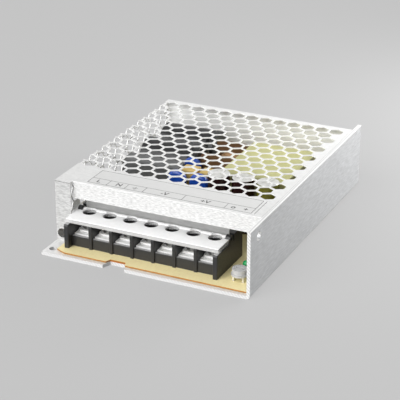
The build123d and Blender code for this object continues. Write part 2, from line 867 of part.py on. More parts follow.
def transformer_core():
    """The ferrite frame of the transformer: two yokes joined by the outer and the middle legs."""
    x0, x1 = transformer_left + tape_thickness, transformer_right - tape_thickness
    y0 = transformer_front + tape_thickness
    y1 = transformer_front + transformer_length - tape_thickness
    z0, z1 = board_top + bobbin_height, transformer_top - tape_thickness
    body = span(x0, x1, y0, y1, z0, z1)
    body -= span(x0 + core_leg, x1 - core_leg, y0 + core_yoke, y1 - core_yoke, z0, z1)
    middle = (x0 + x1) / 2
    middle_z = (z0 + z1) / 2
    half_height = core_leg / 2
    leg_left, leg_right = middle - core_leg, middle + core_leg
    body += span(leg_left, leg_right, y0, y1, middle_z - half_height, middle_z + half_height)
    return fillet(edges_at(body, Axis.X, Z=z1), tape_round - tape_thickness)


def transformer_winding():
    """The winding in the window of the core, around its middle leg."""
    x0 = transformer_left + tape_thickness + core_leg + winding_gap
    x1 = transformer_right - tape_thickness - core_leg - winding_gap
    y0 = transformer_front + tape_thickness + core_yoke + winding_gap
    y1 = transformer_front + transformer_length - tape_thickness - core_yoke - winding_gap
    z0, z1 = board_top + bobbin_height, transformer_top - tape_thickness
    body = span(x0, x1, y0, y1, z0, z1)
    middle = (x0 + x1) / 2
    middle_z = (z0 + z1) / 2
    half_width = core_leg + winding_gap
    half_height = core_leg / 2 + winding_gap
    leg_left, leg_right = middle - half_width, middle + half_width
    return body - span(leg_left, leg_right, y0, y1, middle_z - half_height, middle_z + half_height)


def transformer_tape():
    """The yellow tape wrapped over the top, front and back of the core."""
    x0, x1 = transformer_left, transformer_right
    y0, y1 = transformer_front, transformer_front + transformer_length
    z0, z1 = board_top + bobbin_height, transformer_top
    wrap = span(x0, x1, y0, y1, z0, z1)
    wrap = fillet(edges_at(wrap, Axis.X, Z=z1), tape_round)
    t = tape_thickness
    hollow = span(x0 + t, x1 - t, y0 + t, y1 - t, z0, z1 - t)
    hollow = fillet(edges_at(hollow, Axis.X, Z=z1 - t), tape_round - t)
    return wrap - hollow


def choke_bobbin():
    """The brown bobbin of the line choke: two flanges on a core post."""
    x0, x1 = choke_left, choke_right
    z0, z1 = board_top, board_top + choke_height
    y0, y1 = choke_y - choke_length / 2, choke_y + choke_length / 2
    middle_x, middle_z = (x0 + x1) / 2, (z0 + z1) / 2
    body = bar_along(choke_post, middle_x, y0, y1, middle_z)
    for start in (y0, y1 - choke_flange):
        flange = span(x0, x1, start, start + choke_flange, z0, z1)
        body += fillet(flange.edges().filter_by(Axis.Y), choke_corner)
    return body


def choke_winding_solid():
    """The copper winding of the line choke."""
    middle_x = (choke_left + choke_right) / 2
    middle_z = board_top + choke_height / 2
    y0 = choke_y - choke_length / 2 + choke_flange
    y1 = choke_y + choke_length / 2 - choke_flange
    body = bar_along(choke_winding, middle_x, y0, y1, middle_z)
    return body - bar_along(choke_post, middle_x, y0, y1, middle_z)


def signal_film(index):
    """One of the two small film capacitors beside the mains film capacitor."""
    x0 = film_left + index * (signal_film_length + part_gap)
    return box_capacitor(x0, film_row_front, signal_film_length, signal_film_depth, signal_film_height)


def disc_capacitor(index):
    """One of the blue safety capacitors: two in front of the film row, one behind it."""
    x = disc_right - (index + 1) % 2 * (disc_diameter + part_gap)
    front_y = film_row_front - part_gap - disc_thickness / 2
    back_y = film_row_front + mains_film_depth + part_gap + disc_thickness / 2
    y = (front_y, front_y, back_y)[index]
    return upright_disc(x, y, disc_diameter, disc_thickness, disc_stand)


def logic_package(x0, length):
    """A small moulded package with two rows of legs, in the row of the fuse."""
    foot = board_top + component_lead
    y0 = fuse_y - logic_width / 2
    body = span(x0, x0 + length, y0, y0 + logic_width, foot, foot + logic_height)
    body = chamfer(body.edges().group_by(Axis.Z)[-1], component_lead / 2)
    legs = int(length / logic_lead_pitch)
    for index in range(legs):
        x = x0 + length * (index + 0.5) / legs
        for y in (y0 + component_lead / 2, y0 + logic_width - component_lead / 2):
            body += square_lead(x, y, board_top, foot)
    return body


def thermal_pad():
    """The insulating pad between the power devices and the side wall."""
    y0 = device_centres[0] - device_width / 2 - pad_margin
    y1 = device_centres[-1] + device_width / 2 + pad_margin
    return span(device_right, wall_inside, y0, y1, device_foot - pad_margin, device_top + pad_margin)


def power_device(index):
    """One of the two moulded power devices, on its three legs."""
    y = device_centres[index]
    y0, y1 = y - device_width / 2, y + device_width / 2
    body = span(device_left, device_right, y0, y1, device_foot, device_top)
    body = chamfer(edges_at(body, Axis.Z, X=device_left), part_fillet)
    leg_x = (device_left + device_right) / 2
    for step in (-1, 0, 1):
        body += square_lead(leg_x, y + step * device_width / 4, board_top, device_foot)
    return body


def clamp_bar():
    """The steel bar that presses the power devices to the side wall."""
    x0, x1 = device_left - clamp_bar_thickness, device_left
    y0 = clamp_screw_places[0] - clamp_bar_end
    y1 = clamp_screw_places[-1] + clamp_bar_end
    body = span(x0, x1, y0, y1, clamp_bar_z - clamp_bar_height / 2, clamp_bar_z + clamp_bar_height / 2)
    for y in clamp_screw_places:
        body -= bar_across(clamp_bar_screw + 2 * lead_clearance, x0, x1, y, clamp_bar_z)
    return body


def clamp_posts():
    """The blind threaded posts pressed into the side wall for the clamp bar."""
    bore = clamp_bar_screw + 2 * thread_clearance
    posts = []
    for y in clamp_screw_places:
        solid = bar_across(clamp_post, device_left, wall_inside, y, clamp_bar_z)
        posts.append(solid - bar_across(bore, device_left, wall_inside - clamp_screw_tip_gap, y, clamp_bar_z))
    return posts


def clamp_bar_screws():
    """The screws of the clamp bar."""
    screws = []
    bar_face = device_left - clamp_bar_thickness
    for y in clamp_screw_places:
        head = bar_across(clamp_bar_head, bar_face - clamp_bar_head_height, bar_face, y, clamp_bar_z)
        shank = bar_across(clamp_bar_screw, bar_face, wall_inside - 2 * clamp_screw_tip_gap, y, clamp_bar_z)
        cross = Rot(0, 90, 0) * drive_cross(clamp_bar_head)
        screws.append(head + shank - Pos(bar_face - clamp_bar_head_height, y, clamp_bar_z) * cross)
    return screws


nodes = {
    "chassis": chassis(),
    "mesh_cover": mesh_cover(),
    "cover_screws": cover_screws(),
    "insulation_film": insulation_film(),
    "circuit_board": circuit_board(),
    "board_screws": board_screws(),
    "terminal_block": terminal_block(),
    "terminal_contacts": terminal_contacts(),
    "terminal_guard": terminal_guard(),
    "marker_strip": marker_strip(),
    "trimmer_base": trimmer_base(),
    "trimmer_rotor": trimmer_rotor(),
    "indicator_lamp": indicator_lamp(),
    "fuse": fuse_tube(),
    "thermistor": thermistor(),
    "bridge_rectifier": bridge_rectifier(),
    "mains_film_capacitor": box_capacitor(
        parts_left, film_row_front, mains_film_length, mains_film_depth, mains_film_height
    ),
    "transformer_bobbin": transformer_bobbin(),
    "transformer_core": transformer_core(),
    "transformer_winding": transformer_winding(),
    "transformer_tape": transformer_tape(),
    "choke_bobbin": choke_bobbin(),
    "choke_winding": choke_winding_solid(),
    "control_chip": logic_package(logic_left, logic_length),
    "optocoupler": logic_package(coupler_left, coupler_length),
    "thermal_pad": thermal_pad(),
    "power_transistor": power_device(0),
    "output_rectifier": power_device(1),
    "clamp_bar": clamp_bar(),
    "clamp_posts": clamp_posts(),
    "clamp_bar_screws": clamp_bar_screws(),
}
for index, x in enumerate(way_centres, start=1):
    nodes[f"terminal_clamp_{index}"] = terminal_clamp(x)
    nodes[f"terminal_screw_{index}"] = terminal_screw_solid(x)
for index in range(bulk_count):
    nodes[f"bulk_capacitor_{index + 1}"] = bulk_capacitor(index)
for index in range(signal_film_count):
    nodes[f"signal_film_capacitor_{index + 1}"] = signal_film(index)
for index in range(smoothing_count):
    nodes[f"smoothing_capacitor_{index + 1}"] = smoothing_capacitor(index)
for index in range(disc_count):
    nodes[f"disc_capacitor_{index + 1}"] = disc_capacitor(index)

os.makedirs("parts", exist_ok=True)
for name, shape in nodes.items():
    if isinstance(shape, list):
        shape = Compound(children=shape)
    export_step(shape, f"parts/{name}.step")
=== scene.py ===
import math
from collections import namedtuple

import bmesh
import bpy
from mathutils import Matrix, Vector


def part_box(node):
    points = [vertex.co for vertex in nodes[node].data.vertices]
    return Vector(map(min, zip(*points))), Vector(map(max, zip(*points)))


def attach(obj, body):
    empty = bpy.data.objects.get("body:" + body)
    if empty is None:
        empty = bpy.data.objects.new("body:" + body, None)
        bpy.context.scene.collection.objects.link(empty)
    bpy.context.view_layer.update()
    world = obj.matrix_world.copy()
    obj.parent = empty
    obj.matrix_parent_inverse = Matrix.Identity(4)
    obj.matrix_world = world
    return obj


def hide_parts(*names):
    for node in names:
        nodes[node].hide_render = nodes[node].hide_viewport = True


bl_info = {
    "name": "Mesh Case Power Supply",
    "version": (1, 0, 0),
    "blender": (4, 5, 0),
    "location": "View3D > Sidebar > Supply",
    "description": "Finishes a mesh-cased power supply and sets it in a studio",
    "category": "Object",
}

MM = 0.001
CASE = "case"

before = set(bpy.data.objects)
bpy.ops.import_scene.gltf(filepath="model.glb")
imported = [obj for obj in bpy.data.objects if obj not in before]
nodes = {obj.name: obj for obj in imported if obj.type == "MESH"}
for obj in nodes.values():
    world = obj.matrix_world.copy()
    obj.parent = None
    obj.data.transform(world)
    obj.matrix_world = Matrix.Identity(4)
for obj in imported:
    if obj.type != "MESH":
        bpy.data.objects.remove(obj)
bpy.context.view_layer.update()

# A surface faces along an axis when this much of its normal does
SQUARE_ON = 0.9
# A surface of the board is its cut edge when less than this of its normal is upright
CUT_EDGE_TILT = 0.5
# How much the colours of a finish in two parts vary, and over what size of grain in millimetres
MOTTLE = 0.08
MOTTLE_GRAIN = (1.5, 1.5, 1.5)
# How far the moulded bodies reach down from their tops to their legs, in millimetres
TRIMMER_CUP = 3.0
LAMP_LENS = 4.6
DEVICE_BODY = 15.0
# Cover of the guard's front rim, from clear at 0 to solid at 1
FRONT_RIM_COVER = 0.42
# Height of a capital letter as a share of its font's size
CAPITAL_SHARE = 0.7
EARTH_BARS = 3
# Half the width of the floor, and the place that the lamps face, in metres
FLOOR_REACH = 6.0
LAMP_AIM = (0, 0, 0.015)
# How much of the floor is its own even grey where it is looked at, and not lit
FLOOR_GLOW = 0.78

# The look of one part of a finish
Skin = namedtuple("Skin", ("rgb", "metallic", "roughness"))


def linear(code):
    """An sRGB hex colour as linear red, green and blue."""
    values = [int(code[i:i + 2], 16) / 255 for i in (1, 3, 5)]
    return tuple(v / 12.92 if v <= 0.04045 else ((v + 0.055) / 1.055) ** 2.4 for v in values)


def colour(name, code, description):
    """A colour setting that starts at an sRGB hex value."""
    return bpy.props.FloatVectorProperty(
        name=name, description=description, default=linear(code), size=3, subtype="COLOR", min=0, max=1
    )


def length(name, millimetres, description):
    """A length setting that starts at a size in millimetres."""
    return bpy.props.FloatProperty(
        name=name, description=description, default=millimetres * MM, unit="LENGTH", precision=5
    )


def settings_of(kind, name, description):
    """A group of settings inside another."""
    return bpy.props.PointerProperty(type=kind, name=name, description=description)


def set_inputs(tree, node, inputs):
    """Sets a node's inputs to values, or links them from sockets or the first outputs of other nodes."""
    for name, value in inputs.items():
        if isinstance(value, bpy.types.Node):
            value = next(socket for socket in value.outputs if socket.enabled)
        if isinstance(value, bpy.types.NodeSocket):
            tree.links.new(value, node.inputs[name])
        else:
            node.inputs[name].default_value = value


def add_node(tree, kind, inputs=None, **settings):
    """Adds one node with its settings and its inputs."""
    node = tree.nodes.new(kind)
    for name, value in settings.items():
        setattr(node, name, value)
    set_inputs(tree, node, inputs or {})
    return node


def shade(rgb, share):
    """A colour made lighter or darker by a share, as a socket takes it."""
    return (*(min(1.0, c * share) for c in rgb), 1.0)


def shades(rgb, low, high):
    """The shades of a colour at the low and the high end of a pattern, as a mix takes them."""
    return {"A": shade(rgb, low), "B": shade(rgb, high)}


def new_finish(name, rgb, roughness, metallic=0.0, **sockets):
    """A material with one shader, its constants set on the shader's own sockets."""
    material = bpy.data.materials.new(name)
    material.use_nodes = True
    tree = material.node_tree
    shader = tree.nodes["Principled BSDF"]
    set_inputs(tree, shader, {"Base Color": (*rgb, 1), "Metallic": metallic, "Roughness": roughness})
    set_inputs(tree, shader, {socket.replace("_", " "): value for socket, value in sockets.items()})
    return material, tree, shader


def place_on(tree):
    """X, Y and Z of the place on the object."""
    place = add_node(tree, "ShaderNodeTexCoord")
    return add_node(tree, "ShaderNodeSeparateXYZ", {"Vector": place.outputs["Object"]}).outputs


def facing_of(tree):
    """X, Y and Z of the way that the surface faces."""
    surface = add_node(tree, "ShaderNodeNewGeometry")
    return add_node(tree, "ShaderNodeSeparateXYZ", {"Vector": surface.outputs["Normal"]}).outputs


def looked_at(tree):
    """1 for rays that look, also in mirrors and through clear things, and 0 for rays that gather light."""
    path = add_node(tree, "ShaderNodeLightPath").outputs
    seen = add_node(
        tree, "ShaderNodeMath", {0: path["Is Camera Ray"], 1: path["Is Glossy Ray"]}, operation="MAXIMUM"
    )
    return add_node(
        tree, "ShaderNodeMath", {0: seen, 1: path["Is Transmission Ray"]}, operation="MAXIMUM"
    )


def grain(tree, size_mm, detail=2.0):
    """A pattern from 0 to 1 on Object coordinates, its grains of a real size along X, Y and Z."""
    place = add_node(tree, "ShaderNodeTexCoord")
    scale = [1 / (size * MM) for size in size_mm]
    mapping = add_node(tree, "ShaderNodeMapping", {"Vector": place.outputs["Object"], "Scale": scale})
    noise = add_node(tree, "ShaderNodeTexNoise", {"Vector": mapping, "Scale": 1.0, "Detail": detail})
    return add_node(tree, "ShaderNodeMapRange", {"Value": noise, "From Min": 0.3, "From Max": 0.7})


def grained(name, rgb, roughness, size_mm, tint, gloss, relief_mm, metallic=0.0, **sockets):
    """A finish whose colour, gloss and surface vary by shares and a relief over grains of a real size."""
    material, tree, shader = new_finish(name, rgb, roughness, metallic, **sockets)
    pattern = grain(tree, size_mm)
    tone = add_node(
        tree, "ShaderNodeMix", {"Factor": pattern, **shades(rgb, 1 - tint, 1 + tint)}, data_type="RGBA"
    )
    matt = add_node(
        tree, "ShaderNodeMapRange",
        {"Value": pattern, "To Min": roughness - gloss, "To Max": roughness + gloss},
    )
    relief = add_node(
        tree, "ShaderNodeBump", {"Height": pattern, "Strength": 0.6, "Distance": relief_mm * MM}
    )
    set_inputs(tree, shader, {"Base Color": tone, "Roughness": matt, "Normal": relief})
    return material


def split_finish(name, axis, centre_mm, reach_mm, inner, outer):
    """A finish whose skin changes from inner to outer past a reach either side of a place on an axis."""
    material, tree, shader = new_finish(name, inner.rgb, inner.roughness, inner.metallic)
    place = place_on(tree)
    offset = add_node(
        tree, "ShaderNodeMath", {0: place[axis], 1: centre_mm * MM}, operation="SUBTRACT"
    )
    away = add_node(tree, "ShaderNodeMath", {0: offset}, operation="ABSOLUTE")
    past = add_node(tree, "ShaderNodeMath", {0: away, 1: reach_mm * MM}, operation="GREATER_THAN")
    pattern = grain(tree, MOTTLE_GRAIN)
    tones = [
        add_node(
            tree, "ShaderNodeMix", {"Factor": pattern, **shades(skin.rgb, 1 - MOTTLE, 1 + MOTTLE)},
            data_type="RGBA",
        )
        for skin in (inner, outer)
    ]
    tone = add_node(
        tree, "ShaderNodeMix", {"Factor": past, "A": tones[0], "B": tones[1]}, data_type="RGBA"
    )
    metal = add_node(
        tree, "ShaderNodeMapRange", {"Value": past, "To Min": inner.metallic, "To Max": outer.metallic}
    )
    matt = add_node(
        tree, "ShaderNodeMapRange", {"Value": past, "To Min": inner.roughness, "To Max": outer.roughness}
    )
    set_inputs(tree, shader, {"Base Color": tone, "Metallic": metal, "Roughness": matt})
    return material


def numbered(stem):
    """The parts of the frame whose names start alike."""
    return [name for name in nodes if name.startswith(stem)]


def dress(material, *names):
    """Gives a finish to parts of the frame."""
    for name in names:
        mesh = nodes[name].data
        mesh.materials.clear()
        mesh.materials.append(material)


def box_mm(name):
    """The lowest and the highest corner of a part, in millimetres."""
    low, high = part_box(name)
    return low / MM, high / MM


def new_piece(name, mesh, material, body):
    """A finished piece at the origin that rides a body. Without a material, the mesh keeps its own."""
    piece = bpy.data.objects.new(name, mesh)
    bpy.context.scene.collection.objects.link(piece)
    if material is not None:
        mesh.materials.clear()
        mesh.materials.append(material)
    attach(piece, body)
    return piece


def bars_mesh(name, bars):
    """A mesh of thin flat bars, each given by two corners in millimetres."""
    mesh = bpy.data.meshes.new(name)
    work = bmesh.new()
    for low, high in bars:
        middle = (Vector(low) + Vector(high)) / 2 * MM
        size = (Vector(high) - Vector(low)) * MM
        place = Matrix.Translation(middle) @ Matrix.Diagonal((*size, 1))
        bmesh.ops.create_cube(work, size=1.0, matrix=place)
    work.to_mesh(mesh)
    work.free()
    return mesh


def new_tree(name, inputs):
    """A geometry tree with named inputs of a given kind and default, and one geometry output."""
    tree = bpy.data.node_groups.new(name, "GeometryNodeTree")
    tree.is_modifier = True
    for label, kind, default in inputs:
        socket = tree.interface.new_socket(label, in_out="INPUT", socket_type=kind)
        if default is not None:
            socket.default_value = default
    tree.interface.new_socket("Geometry", in_out="OUTPUT", socket_type="NodeSocketGeometry")
    return tree


def grown_mesh(name, tree, values):
    """The plain mesh that a geometry tree makes with the given values for its named inputs."""
    holder = bpy.data.objects.new(name, bpy.data.meshes.new(name))
    bpy.context.scene.collection.objects.link(holder)
    modifier = holder.modifiers.new(name, "NODES")
    modifier.node_group = tree
    for item in tree.interface.items_tree:
        if item.item_type == "SOCKET" and item.in_out == "INPUT" and item.name in values:
            modifier[item.identifier] = values[item.name]
    graph = bpy.context.evaluated_depsgraph_get()
    mesh = bpy.data.meshes.new_from_object(holder.evaluated_get(graph))
    mesh.name = name
    bpy.data.objects.remove(holder)
    if not mesh.polygons:
        raise RuntimeError(f"the tree of {name} made no faces")
    return mesh


class CaseSettings(bpy.types.PropertyGroup):
    aluminium: colour("Aluminium", "#BEBFC0", "Brushed sheet of the base and the side wall")
    # Its pale tone also serves as painted light on the upper face of the base
    cut_edge_and_painted_light: colour("Cut edge", "#F2F2F1", "Sheared edges of the sheet and its face as rolled")
    blade_pitch: length("Blade marks", 1.5, "Spacing of the slanting marks on the sheared edge")
    rim_depth: length("Bright rim", 0.25, "Depth of the bright upper rim of the side wall")
    # The cover's upright faces behind this reach are painted lighter, a painted light inside the back, and
    # its top in front of it darker, a painted shade
    shade_painted: length("Scuffed front", 20.0, "How far back from the front the cover is scuffed")
    # The foremost face is painted darkest, a painted shade
    proud: length("Scraped front", 1.0, "Depth of the cover's foremost face, which is scraped most")
    zinc: colour("Zinc", "#E3E3E2", "Plated sheet of the cover")
    screw_metal: colour("Screws", "#C9C7C2", "Nickel plate of the small screws")


class TerminalSettings(bpy.types.PropertyGroup):
    moulding: colour("Moulding", "#29292A", "Black moulded block")
    # The block's upper edges near the front are painted pale to this depth, a painted highlight
    front_painted_light: colour("Rubbed edges", "#B4B4B4", "Rubbed upper edges of the block")
    highlight_painted: length("Rubbed depth", 4.7, "How far back from the front the upper edges are rubbed")
    tin: colour("Tin", "#FBFBFA", "Tin plate of the contacts and clamps")
    # Darker than the other screws, a painted shade under the guard
    screw: colour("Terminal screws", "#8D8D8B", "Zinc plate of the terminal screws")
    guard: colour("Guard", "#FEFEFE", "Clear polycarbonate of the hinged guard")
    haze_depth: length("Haze depth", 0.9, "How far below its hinge the guard's milky upper skin ends")
    front_edge: length("Front edge", 1.3, "Depth of the guard's front rim, milkier than its other sides")
    # The grey strip stands where the lip shades the guard, a painted shade
    marker: colour("Marker strip", "#B6B6B5", "Grey strip behind the guard")


class BoardSettings(bpy.types.PropertyGroup):
    laminate: colour("Laminate", "#FFEBB4", "Top of the paper laminate board")
    # The brown of the board's cut edge is painted shade
    edge_painted_shade: colour("Laminate edge", "#B0722A", "Cut edge of the board")
    # Partly the film's own brown and partly painted shade under the board's edge
    film: colour("Film", "#B4652C", "Insulating film under the board")
    trimmer: colour("Trimmer", "#BCBCBC", "Moulded cup of the trimmer")
    lamp: colour("Lamp", "#1F9A58", "Tinted epoxy of the indicator")
    legs: colour("Legs", "#E2E2DE", "Tinned legs of the small parts")


class PartSettings(bpy.types.PropertyGroup):
    tape: colour("Tape", "#C3C187", "Polyester tape round the transformer")
    ferrite: colour("Ferrite", "#3A3836", "Core of the transformer")
    copper: colour("Copper", "#A8835C", "Enamelled wire")
    bobbin: colour("Bobbin", "#6A4E34", "Moulded bobbin of the choke")
    bulk_sleeve: colour("Large sleeves", "#1E1E1F", "Shrink sleeve of the large cans")
    output_sleeve: colour("Output sleeves", "#2C1516", "Shrink sleeve of the output cans")
    olive_sleeve: colour("Olive sleeve", "#77742F", "Shrink sleeve of the first output can")
    can_end: colour("Can ends", "#E2E2E0", "Bare aluminium of a can's end")
    film_case: colour("Film case", "#D9B96C", "Potted case of the small film capacitors")
    mains_case: colour("Mains case", "#5C5D5D", "Potted case of the mains film capacitor")
    disc: colour("Discs", "#1F4FB4", "Lacquer of the disc capacitors")
    lacquer: colour("Thermistor", "#232821", "Dark lacquer of the thermistor")
    ceramic: colour("Fuse", "#D8D8D2", "Ceramic tube of the fuse")
    epoxy: colour("Epoxy", "#1B1B1C", "Moulded packages")
    pad: colour("Pad", "#9BA0A6", "Silicone pad behind the power devices")
    wire: length("Choke wire", 0.95, "Diameter of the choke's wire")
    end_skin: length("Can end skin", 0.3, "Depth to which a can's bare end reaches")
    fuse_cap: length("Fuse caps", 5.0, "Length of the fuse's end caps")


class LabelSettings(bpy.types.PropertyGroup):
    panel: colour("Panel", "#D2D2D1", "Ground of the printed panel")
    ink: colour("Ink", "#4A4A4A", "Printed lines and marks")
    line: length("Line", 0.22, "Width of a printed line")
    mark: length("Mark", 2.6, "Height of a printed mark")
    weight: length("Weight", 0.07, "How much the strokes of the marks are thickened")
    layer: length("Layer", 0.02, "Thickness of the print")
    left: length("Left", -34.6, "Left edge of the panel")
    right: length("Right", 41.1, "Right edge of the panel")
    front: length("Front", -47.3, "Front edge of the panel")
    back: length("Back", -33.8, "Back edge of the panel")
    row: length("Row", -42.2, "Line behind the row of terminal marks")
    border: length("Border", 1.5, "Gap to the second line at the right edge")
    cells: bpy.props.FloatVectorProperty(
        name="Cells", description="Places of the lines between the cells", size=5, unit="LENGTH",
        default=(-0.0258, -0.0172, -0.0087, 0.0096, 0.0289),
    )
    marks: bpy.props.FloatVectorProperty(
        name="Marks", description="Places of the marks in their order", size=6, unit="LENGTH",
        default=(-0.0305, -0.0208, 0.0007, 0.0194, 0.0322, 0.0377),
    )
    earth: length("Earth", -13.1, "Place of the earth mark")
    earth_height: length("Earth height", 1.3, "Height of the earth mark's stem and half of its longest bar")
    earth_step: length("Earth step", 0.6, "Spacing of the earth mark's bars")


class StageSettings(bpy.types.PropertyGroup):
    floor: colour("Floor", "#C4C4C4", "Plain pale floor")
    lens: bpy.props.FloatProperty(
        name="Lens", description="Focal length on a 36 mm sensor", default=133.46, unit="CAMERA", min=1
    )
    azimuth: bpy.props.FloatProperty(
        name="Azimuth", description="Turn of the camera round the supply", default=math.radians(25.273),
        unit="ROTATION",
    )
    elevation: bpy.props.FloatProperty(
        name="Elevation", description="Height of the camera above the horizon",
        default=math.radians(24.148), unit="ROTATION",
    )
    eye: bpy.props.FloatVectorProperty(
        name="Eye", description="Place of the camera", default=(0.2557, -0.5502, 0.2807), size=3,
        unit="LENGTH",
    )


class SupplySettings(bpy.types.PropertyGroup):
    case: settings_of(CaseSettings, "Case", "Finishes of the metalwork")
    terminal: settings_of(TerminalSettings, "Terminals", "Finishes of the block")
    board: settings_of(BoardSettings, "Board", "Finishes of the board")
    part: settings_of(PartSettings, "Parts", "Finishes of the parts on the board")
    label: settings_of(LabelSettings, "Label", "Sizes of the printed panel")
    stage: settings_of(StageSettings, "Stage", "Floor, light and camera")


class SUPPLY_OT_metalwork(bpy.types.Operator):
    """Finish the base, the cover and their screws"""

    bl_idname = "supply.metalwork"
    bl_label = "Metalwork"

    def execute(self, context):
        case = context.scene.supply.case
        # Brushed aluminium: fine scratches along the sheet, drawn coarse to show, blur what it reflects
        material, tree, shader = new_finish(
            "Brushed aluminium", case.aluminium, roughness=0.4, metallic=1.0
        )
        streak = grain(tree, (0.4, 4.0, 0.36), detail=3.0)
        place, facing = place_on(tree), facing_of(tree)
        # The sheared front and upper edges are bright, with slanting blade marks drawn coarse to show
        slant = add_node(tree, "ShaderNodeMath", {0: place["X"], 1: place["Z"]}, operation="ADD")
        rate = 2 * math.pi / case.blade_pitch
        turns = add_node(tree, "ShaderNodeMath", {0: slant, 1: rate}, operation="MULTIPLY")
        wave = add_node(tree, "ShaderNodeMath", {0: turns}, operation="SINE")
        mark = add_node(tree, "ShaderNodeMapRange", {"Value": wave, "From Min": -0.6, "From Max": 0.6})
        # The upper face of the base is painted paler than the brushed wall, a painted light on the faces
        # that point up
        brushed, painted_light, sheared = (
            add_node(tree, "ShaderNodeMix", {"Factor": pattern, **ends}, data_type="RGBA")
            for pattern, ends in (
                (streak, shades(case.aluminium, low=0.8, high=1.16)),
                (streak, shades(case.cut_edge_and_painted_light, low=0.8, high=1.0)),
                (mark, shades(case.cut_edge_and_painted_light, low=0.72, high=1.0)),
            )
        )
        in_front = add_node(tree, "ShaderNodeMath", {0: facing["Y"], 1: -SQUARE_ON}, operation="LESS_THAN")
        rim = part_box("chassis")[1].z - case.rim_depth
        on_top = add_node(tree, "ShaderNodeMath", {0: place["Z"], 1: rim}, operation="GREATER_THAN")
        is_edge = add_node(tree, "ShaderNodeMath", {0: in_front, 1: on_top}, operation="MAXIMUM")
        upward = add_node(tree, "ShaderNodeMath", {0: facing["Z"], 1: SQUARE_ON}, operation="GREATER_THAN")
        is_pale = add_node(tree, "ShaderNodeMath", {0: is_edge, 1: upward}, operation="MAXIMUM")
        # Faces that point up take the painted light
        face = add_node(
            tree, "ShaderNodeMix", {"Factor": upward, "A": brushed, "B": painted_light}, data_type="RGBA"
        )
        tone = add_node(
            tree, "ShaderNodeMix", {"Factor": is_edge, "A": face, "B": sheared}, data_type="RGBA"
        )
        metal = add_node(tree, "ShaderNodeMapRange", {"Value": is_pale, "To Min": 0.45, "To Max": 0.2})
        matt = add_node(tree, "ShaderNodeMapRange", {"Value": streak, "To Min": 0.32, "To Max": 0.5})
        relief = add_node(
            tree, "ShaderNodeBump", {"Height": streak, "Strength": 0.1, "Distance": 0.05 * MM}
        )
        set_inputs(
            tree, shader, {"Base Color": tone, "Metallic": metal, "Roughness": matt, "Normal": relief}
        )
        dress(material, "chassis")

        # Zinc-plated steel: nearly white, with streaks along X from rolling, strongest on the front. Its
        # tones are painted light and shade: upright faces behind the front are painted lighter, the
        # foremost face and the front of the top darker
        material, tree, shader = new_finish("Zinc-plated steel", case.zinc, roughness=0.42, metallic=0.12)
        streak = grain(tree, (1.7, 1.2, 0.34), detail=3.0)
        place, facing = place_on(tree), facing_of(tree)
        flat = add_node(tree, "ShaderNodeMath", {0: facing["Z"]}, operation="ABSOLUTE")
        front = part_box("mesh_cover")[0].y
        shade_painted, proud = (
            add_node(tree, "ShaderNodeMath", {0: place["Y"], 1: front + depth}, operation="LESS_THAN")
            for depth in (case.shade_painted, case.proud)
        )
        painted_dark, front_painted_light, painted_light_back, dull, level = (
            add_node(tree, "ShaderNodeMix", {"Factor": streak, **ends}, data_type="RGBA")
            for ends in (
                shades(case.zinc, low=0.56, high=1.0),
                shades(case.zinc, low=0.76, high=1.24),
                shades(case.zinc, low=1.14, high=1.29),
                shades(case.zinc, low=0.82, high=0.94),
                shades(case.zinc, low=0.86, high=0.96),
            )
        )
        # Painted light: upright faces behind the front take a lighter tone than those in front, and the
        # foremost face takes a darker one, painted shade
        wall = add_node(tree, "ShaderNodeMix", {"Factor": shade_painted, "A": painted_light_back, "B": front_painted_light}, data_type="RGBA")
        upright = add_node(
            tree, "ShaderNodeMix", {"Factor": proud, "A": wall, "B": painted_dark}, data_type="RGBA"
        )
        # The top is painted a little darker in front than behind, a painted shade
        top = add_node(tree, "ShaderNodeMix", {"Factor": shade_painted, "A": level, "B": dull}, data_type="RGBA")
        tone = add_node(tree, "ShaderNodeMix", {"Factor": flat, "A": upright, "B": top}, data_type="RGBA")
        matt = add_node(tree, "ShaderNodeMapRange", {"Value": streak, "To Min": 0.34, "To Max": 0.5})
        relief = add_node(
            tree, "ShaderNodeBump", {"Height": streak, "Strength": 0.3, "Distance": 0.02 * MM}
        )
        set_inputs(tree, shader, {"Base Color": tone, "Roughness": matt, "Normal": relief})
        dress(material, "mesh_cover")

        # Nickel plate: smooth and slightly warm, with faint cloudy patches
        material = grained(
            "Nickel plate", case.screw_metal, roughness=0.28, metallic=1.0, size_mm=(1.2, 1.2, 1.2),
            tint=0.08, gloss=0.08, relief_mm=0.005,
        )
        dress(material, "cover_screws", "board_screws", "clamp_bar_screws", "clamp_posts", "clamp_bar")
        return {"FINISHED"}


